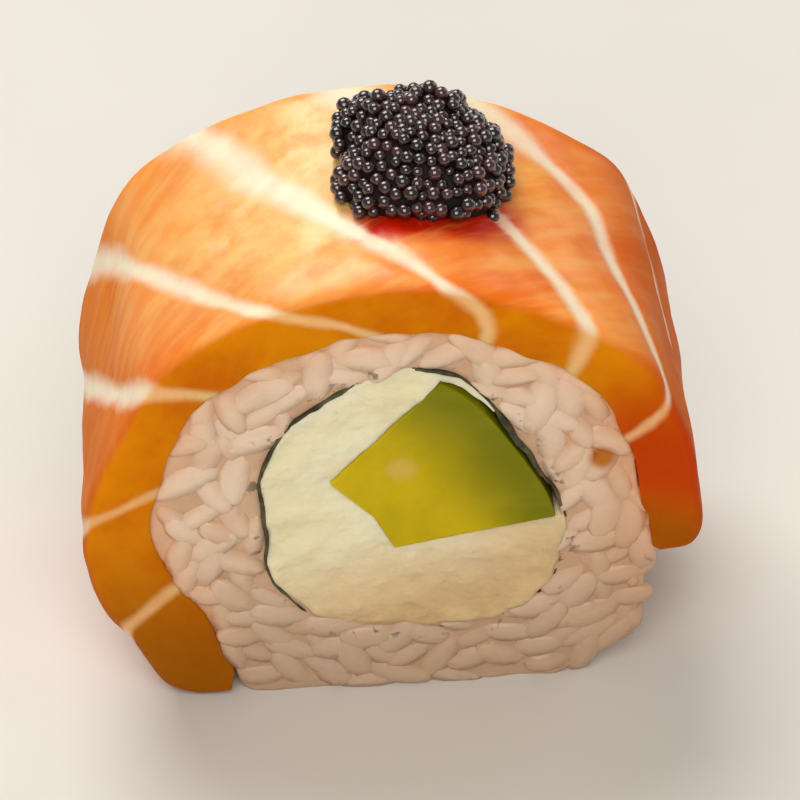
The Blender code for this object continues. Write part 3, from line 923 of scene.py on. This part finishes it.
def pressed_rice(finish, stations=380):
    """The rice below the grains that show, a little lumpy, and drawn in under the bare flank's grains."""
    ring = round_of_the_ring(RICE_FACE, 38, 24, 8, 0.3, 0.97, 4)
    turn, y, share = carried_round(ring, stations)
    hole = rice_hole(turn, y)
    outer = rice_edge(turn, y) + 0.36
    rough = columns(outer * np.cos(turn), y, outer * np.sin(turn))
    flank = bare_flank(rough + np.array([ROLL_MIDDLE[0], 0, ROLL_MIDDLE[1]]))
    outer -= flank * (1.0 - 0.35 * ripple(rough, 2.4, 31))
    points = from_the_middle(hole + (outer - hole) * share, turn, y)
    move_cuts(points, y, RICE_FACE, 0.5, relief(points, (0.10, 2.3, 32), (0.05, 0.9, 33)))
    points[:, 2] = np.maximum(points[:, 2], 0.0)
    face_bed = (np.abs(points[:, 1]) > RICE_FACE - 0.5) & (share > 0.05) & (share < 0.92)
    values = {
        "bare": np.where(face_bed, 1.0, flank * (share > 0.99)),
        "lie": columns(-np.sin(turn), np.zeros_like(turn), np.cos(turn)),
        "grain_chance": np.full(len(points), 0.3),
        "crown": np.zeros(len(points)),
        **ring_values(points),
    }
    return piece_of("pressed_rice", points, quads_between(points, stations, True), finish, values)


def grain_shape(sides=8, rounds=7):
    """One cooked grain of short rice: plump, slightly flat and slightly bent."""
    points = [(-GRAIN_LENGTH / 2, 0, 0)]
    for n in range(1, rounds + 1):
        t = -math.cos(math.pi * n / (rounds + 1))
        girth = 0.5 * GRAIN_WIDTH * (1 - t * t) ** 0.42 * (1 - 0.06 * t)
        for k in range(sides):
            a = math.tau * k / sides
            points.append((0.5 * GRAIN_LENGTH * t, girth * math.cos(a), 0.86 * girth * math.sin(a)))
    points.append((GRAIN_LENGTH / 2, 0, 0))
    last = len(points) - 1
    faces = []
    for k in range(sides):
        n = (k + 1) % sides
        faces += [(0, 1 + n, 1 + k), (last, last - sides + k, last - sides + n)]
        for ring in range(rounds - 1):
            a, b = 1 + ring * sides, 1 + (ring + 1) * sides
            faces.append((a + k, a + n, b + n, b + k))
    points = np.array(points)
    points[:, 1] += 0.035 * points[:, 0] ** 2 - 0.12
    return piece_of("grain", points, faces, None)


def eased_to(value, limit, softness):
    """The value, brought softly down to the limit and hardly past it."""
    over = softness * np.logaddexp(0, (value - limit) / softness)
    return value - 0.9 * over


def rice_grains(bed, tree, finish):
    """The grains that show: cut flat on the two faces, plump on the bare flank."""
    made = scattered(
        "rice_grains", bed, tree, grain_shape(), Spacing=GRAIN_SPACING * MM, Sink=0.52 * MM,
        Uneven=0.2 * MM, Spin=1.1, Tilt=0.32, Smallest=0.74, Largest=1.0, Draw=7, Finish=finish,
    )
    mesh = made.data
    points, luck = points_of(mesh), values_of(mesh, "piece_chance")
    angle = angle_round(points)
    flat = points[:, [0, 2]] - ROLL_MIDDLE
    reach = lengths(flat)
    outer = rice_edge(angle, points[:, 1]) + 0.30 + 0.30 * bare_flank(points)
    kept = eased_to(reach, outer, 0.08)
    kept = -eased_to(-kept, -rice_hole(angle, points[:, 1]), 0.08)
    points[:, [0, 2]] = ROLL_MIDDLE + flat * (kept / reach)[:, None]
    limit = HALF - 0.05 - 0.22 * luck
    points[:, 1] = np.sign(points[:, 1]) * eased_to(np.abs(points[:, 1]), limit, 0.18)
    points[:, 2] = np.maximum(points[:, 2], 0.02)
    set_points(mesh, points)
    crown = rise(RICE_FACE - 0.1, HALF - 0.1, np.abs(points[:, 1]))
    crown = np.maximum(crown, bare_flank(points) * rise(-0.9, 0.3, kept - rice_reach(angle)))
    set_values(mesh, {"crown": crown, "grain_chance": luck, **ring_values(points)})
    return made


# ---- nori and filling


def nori_wrap(finish, stations=380):
    """The sheet of nori, crinkled, thinner where it is pressed, with a slightly torn edge."""
    ring = round_of_the_ring(NORI_FACE, 3, 30, 12)
    turn, y, share = carried_round(ring, stations)
    outer = sheet_reach(turn) + crinkle(turn, y)
    inner = outer - nori_thickness(turn)
    points = from_the_middle(inner + (outer - inner) * share, turn, y)
    torn = relief(points * (1, 0, 1), (0.12, 0.8, 41), (0.2, 2.2, 43)) - 0.5 * cover(turn)
    move_cuts(points, y, NORI_FACE, 0.8, torn)
    return piece_of("nori_wrap", points, quads_between(points, stations, True), finish, sharp_at=50)


def nori_thickness(angle):
    """The sheet shows broad on the left and at the upper right, and as a hair between them."""
    left = np.exp(-(((angle + math.tau) % math.tau - 3.1) / 0.55) ** 2)
    upper_right = np.exp(-(((angle - 0.62) / 0.42) ** 2))
    worn = relief(round_it(9, angle, 0 * angle), (0.12, 1.6, 42), (0.07, 0.6, 44))
    return 0.18 + 0.16 * left + 0.20 * upper_right + worn


def filled_reach(angle, y):
    """How far the cheese and the avocado reach out towards the nori."""
    return sheet_reach(angle) + crinkle(angle, y) + crumbled(angle, y) - nori_thickness(angle) + 0.03


def pushed_out(points):
    """The filling's outer side moved on to the inside of the nori."""
    flat = points[:, [0, 2]] - ROLL_MIDDLE
    angle, reach = np.arctan2(flat[:, 1], flat[:, 0]), lengths(flat)
    was = reach_of(filling_loop)(angle)
    share = rise(0.82, 1.0, reach / was)
    new = reach + share * (filled_reach(angle, points[:, 1]) - was)
    points[:, [0, 2]] = ROLL_MIDDLE + flat * (new / reach)[:, None]
    return points


def avocado_side():
    """The avocado's outer side, a little away from the nori at its top, where the cheese's tail lies."""
    side = stretch(filling_loop, AVOCADO_TOP, AVOCADO_RIGHT)
    inward = 0.55 * rise(0.42, 0.05, np.linspace(0, 1, len(side)))
    return side + inward[:, None] * outward(np.gradient(side, axis=0))


def cheese_filling(finish, stations=260):
    """Cream cheese round the avocado's cut sides, with a thin tail over the avocado's top."""
    side = avocado_side()
    tail = int(lengths(side - CHEESE_TAIL).argmin())
    inner = even(np.vstack([side[tail::-1], AVOCADO_CORNERS[::-1], side[-1:]]), stations)
    outer = even(stretch(filling_loop[::-1], CHEESE_TAIL, AVOCADO_RIGHT), stations)
    ring = round_of_the_ring(CHEESE_FACE, 26, 20, 6, 0.15, 0.985, 2)
    y, share = np.tile(ring, (stations, 1)).T
    low, high = np.repeat(inner, len(ring), 0), np.repeat(outer, len(ring), 0)
    section = low + (high - low) * share[:, None]
    points = pushed_out(columns(section[:, 0], y, section[:, 1]))
    smear = points * (0.5, 1, 1.6) @ np.array([[0.9, 0, 0.4], [0, 1, 0], [-0.4, 0, 0.9]])
    dent = relief(smear, (0.22, 3.0, 51)) + relief(points, (0.18, 1.3, 52), (0.07, 0.6, 53))
    dent += rise(14, 7, points[:, 2]) * rise(0.5, 0.95, share) * relief(points, (0.16, 1.0, 54))
    move_cuts(points, y, CHEESE_FACE, 0.4, dent)
    return piece_of("cheese_filling", points, quads_between(points, stations, False), finish)


def avocado_stick(finish, stations=300, rounds=26):
    """The stick of avocado: crisp cut corners, softly rounded edges and a slightly uneven cut."""
    side = avocado_side()
    loop = even(np.vstack([side, AVOCADO_CORNERS])[::-1], stations, True)
    middle = loop.mean(0)
    shares = [*np.linspace(0.03, 0.94, rounds), 0.97, 0.99]
    front = [(-AVOCADO_FACE, share) for share in shares]
    front += [(-AVOCADO_FACE + 0.06, 0.998), (-AVOCADO_FACE + 0.25, 1.0)]
    rows = front + [(y, 1.0) for y in np.linspace(-AVOCADO_FACE + 2, AVOCADO_FACE - 2, 12)]
    rows += [(-y, share) for y, share in reversed(front)]
    y, share = np.repeat(rows, stations, axis=0).T
    section = middle + (np.tile(loop, (len(rows), 1)) - middle) * share[:, None]
    points = columns(section[:, 0], y, section[:, 1])
    move_cuts(points, y, AVOCADO_FACE, 0.4, relief(points, (0.08, 3.5, 61), (0.03, 1.0, 62)))
    gaps = [lengths(section - p) for p in side[::4]]
    return piece_of(
        "avocado_stick", points, quads_between(points, len(rows), False), finish,
        {"from_the_skin": np.min(gaps, axis=0)}, sharp_at=60,
    )


# ---- roe


def roe_reach(turn):
    """How far the spoonful spreads in a direction."""
    block = (np.abs(np.cos(turn)) ** 3 + np.abs(np.sin(turn)) ** 3) ** (-1 / 3)
    dribble = 0.12 * np.exp(-(((turn % math.tau - 3.5) / 0.2) ** 2))
    return block * (1 + 0.04 * np.sin(3 * turn + 1.0) + 0.03 * np.cos(5 * turn) + dribble)


def roe_height(across, turn):
    """The heap's height from its middle, where across is 0, to its edge, where it is 1."""
    lump = noise.noise(Vector((2.0 * across * math.cos(turn), 2.0 * across * math.sin(turn), 4.0)))
    lean = 1 + 0.22 * across * math.cos(turn - 0.8)
    return ROE_HEIGHT * (0.50 + 0.50 * (1 - across**2.8)) * (1 + 0.16 * lump) * lean


def roe_core(salmon, finish, spokes=96, rounds=26):
    """The lumpy heap below the eggs, lying on the salmon."""
    shape = bmesh.new()
    shape.from_mesh(salmon.data)
    ground = BVHTree.FromBMesh(shape)
    shape.free()
    shrink = 1 - 0.5 * EGG_SIZE / ROE_HALF_SIZE[0]
    spread_out = [n / rounds for n in range(1, rounds + 1)]
    rows = [(across, 1.0) for across in spread_out] + [(1.0, 0.6), (1.0, 0.26)]
    rows += [(across, 0.0) for across in reversed(spread_out)]
    points = []
    for across, top in rows:
        for k in range(spokes):
            turn = math.tau * k / spokes
            spread = roe_reach(turn) * across * shrink
            x = ROE_CENTRE[0] + ROE_HALF_SIZE[0] * spread * math.cos(turn)
            y = ROE_CENTRE[1] + ROE_HALF_SIZE[1] * spread * math.sin(turn)
            hit = ground.ray_cast(Vector((x * MM, y * MM, 0.1)), Vector((0, 0, -1)))[0]
            height = top * (roe_height(across, turn) - 0.65 * EGG_SIZE) - 0.25 * (top == 0)
            points.append((x, y, hit.z / MM + height))
    points = np.array(points)
    upper = np.repeat([top for _, top in rows], spokes)
    points[:, 2] += upper * 0.22 * ripple(points, EGG_SIZE, 71)
    lie = np.tile((1.0, 0, 0), (len(points), 1))
    values = {"bare": upper > 0, "lie": lie, "egg_chance": 0 * upper, "whole_egg": 0 * upper}
    return piece_of("roe_heap", points, quads_between(points, len(rows), False), finish, values)


def egg_shape():
    shape = bmesh.new()
    bmesh.ops.create_icosphere(shape, subdivisions=2, radius=0.5 * EGG_SIZE * MM)
    mesh = bpy.data.meshes.new("egg")
    shape.to_mesh(mesh)
    shape.free()
    mesh.shade_smooth()
    return placed("egg", mesh)


def roe_eggs(bed, tree, finish):
    """The eggs: a close layer over the heap."""
    made = scattered(
        "roe_eggs", bed, tree, egg_shape(), Spacing=EGG_SPACING * MM, Sink=-0.18 * MM,
        Uneven=0.36 * MM, Spin=3.0, Tilt=3.0, Smallest=0.80, Largest=1.08, Draw=3, Finish=finish,
    )
    luck = values_of(made.data, "piece_chance")
    set_values(made.data, {"egg_chance": luck, "whole_egg": 0 * luck + 1})
    return made


# ---- studio


def aimed(name, data, place, toward):
    """A lamp or a camera at a place, looking along a direction."""
    made = placed(name, data)
    made.location = place
    made.rotation_mode = "QUATERNION"
    made.rotation_quaternion = toward.to_track_quat("-Z", "Y")
    return made


def studio():
    """A pale floor, a soft lamp from behind, a soft fill from the front and a faint rim on the right."""
    mesh = bpy.data.meshes.new("floor")
    corners = [(x * FLOOR_REACH, y * FLOOR_REACH, 0) for x, y in ((-1, -1), (1, -1), (1, 1), (-1, 1))]
    mesh.from_pydata(corners, [], [(0, 1, 2, 3)])
    mesh.materials.append(pale_floor())
    placed("floor", mesh)
    world = bpy.data.worlds.new("studio")
    world.use_nodes = True
    sky = world.node_tree.nodes["Background"].inputs
    sky["Color"].default_value = SKY_COLOUR
    sky["Strength"].default_value = SKY_STRENGTH
    bpy.context.scene.world = world
    for name, place, side, power, colour in LAMPS:
        lamp = bpy.data.lights.new(name, "AREA")
        lamp.shape = "SQUARE"
        lamp.size = side
        lamp.energy = power
        lamp.color = colour
        aimed(name, lamp, place, Vector(LAMP_AIM) - Vector(place))


def camera():
    """Looks down on the front cut from 42 degrees, a little from the left."""
    flat = math.cos(CAMERA_RISE)
    back = Vector((math.sin(CAMERA_TURN) * flat, -math.cos(CAMERA_TURN) * flat, math.sin(CAMERA_RISE)))
    lens = bpy.data.cameras.new("camera")
    lens.sensor_width = CAMERA_SENSOR
    lens.lens = CAMERA_SENSOR * CAMERA_DISTANCE / VIEW_WIDTH
    lens.clip_start = 0.01
    bpy.context.scene.camera = aimed("camera", lens, CAMERA_AIM + back * CAMERA_DISTANCE, -back)


# ---- the whole piece


def main():
    flesh, rice, eggs = salmon_flesh(), sushi_rice(), black_eggs()
    tree = scatter_tree()
    salmon = draped_salmon(flesh)
    heap = roe_core(salmon, eggs)
    loose = roe_eggs(heap, tree, eggs)
    finished(salmon, "salmon_slice")
    core = pressed_rice(rice)
    grains = rice_grains(core, tree, rice)
    finished(core, "rice_ring")
    finished(grains, None)
    finished(nori_wrap(nori_sheet()), "nori_sheet")
    finished(cheese_filling(cream_cheese()), "cream_cheese")
    finished(avocado_stick(ripe_avocado()), "avocado_strip")
    finished(heap, "black_roe")
    finished(loose, None)
    studio()
    camera()
    bpy.context.scene.view_settings.view_transform = "Standard"


main()
